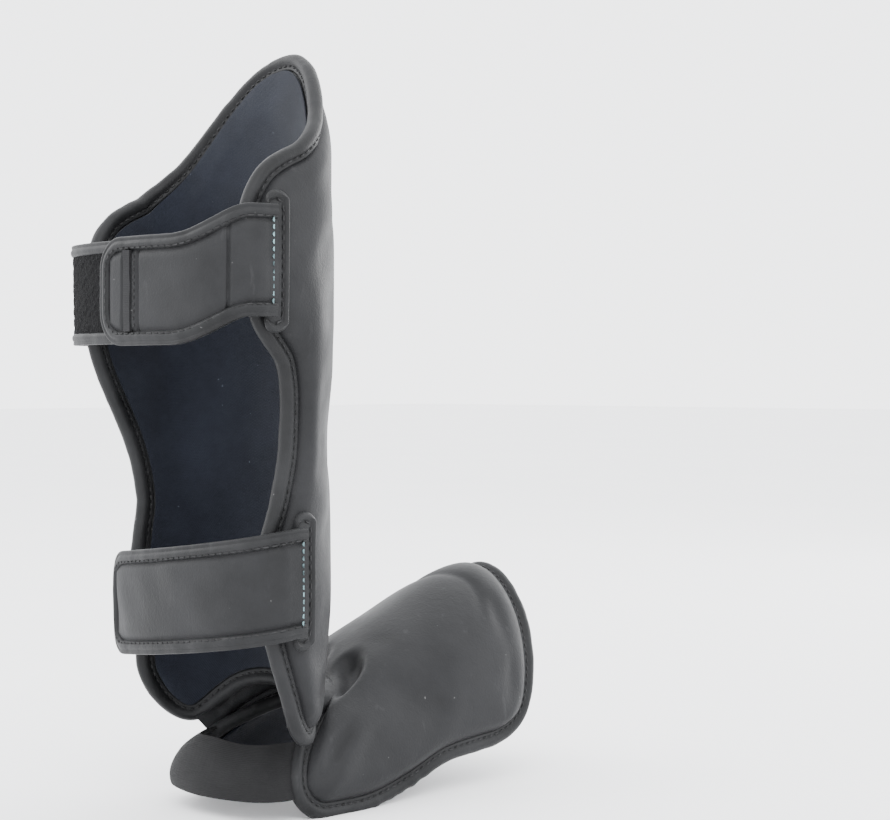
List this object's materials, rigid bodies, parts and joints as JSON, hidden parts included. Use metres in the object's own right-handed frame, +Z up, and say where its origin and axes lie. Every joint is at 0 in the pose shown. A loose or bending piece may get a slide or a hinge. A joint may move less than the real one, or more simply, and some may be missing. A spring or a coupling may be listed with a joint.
{
  "type": "kickboxing shin guard",
  "caption": "Padded shin and instep guard with a lined shell, a raised front panel, calf straps with loop flaps, a heel elastic and a sole elastic.",
  "frame": {"origin": "middle of the box of the whole guard in X and Y, on the plane that it stands on", "axes": "+Z up along the shin, -Y towards the toes, -X the side where the straps are sewn on"},
  "size_m": [0.1558, 0.2638, 0.4005],
  "materials": {
    "black_leather": "matt, charcoal black, slightly pebbled",
    "navy_lining": "matt, very dark blue textile",
    "loop_pile": "matt black loop pile",
    "black_elastic": "matt dark grey ribbed elastic"
  },
  "bodies": {
    "root": {"shin_pad": "black_leather", "shin_lining": "navy_lining", "shin_binding": "black_leather", "instep_pad": "black_leather", "instep_lining": "navy_lining", "instep_binding": "black_leather", "ankle_bridge": "black_leather", "heel_elastic": "black_elastic", "sole_elastic": "black_elastic", "upper_strap": "black_leather", "upper_strap_anchor": "black_leather", "upper_loop_flap": "loop_pile", "lower_strap": "black_leather", "lower_strap_anchor": "black_leather", "lower_loop_flap": "loop_pile"}
  },
  "joints": []
}
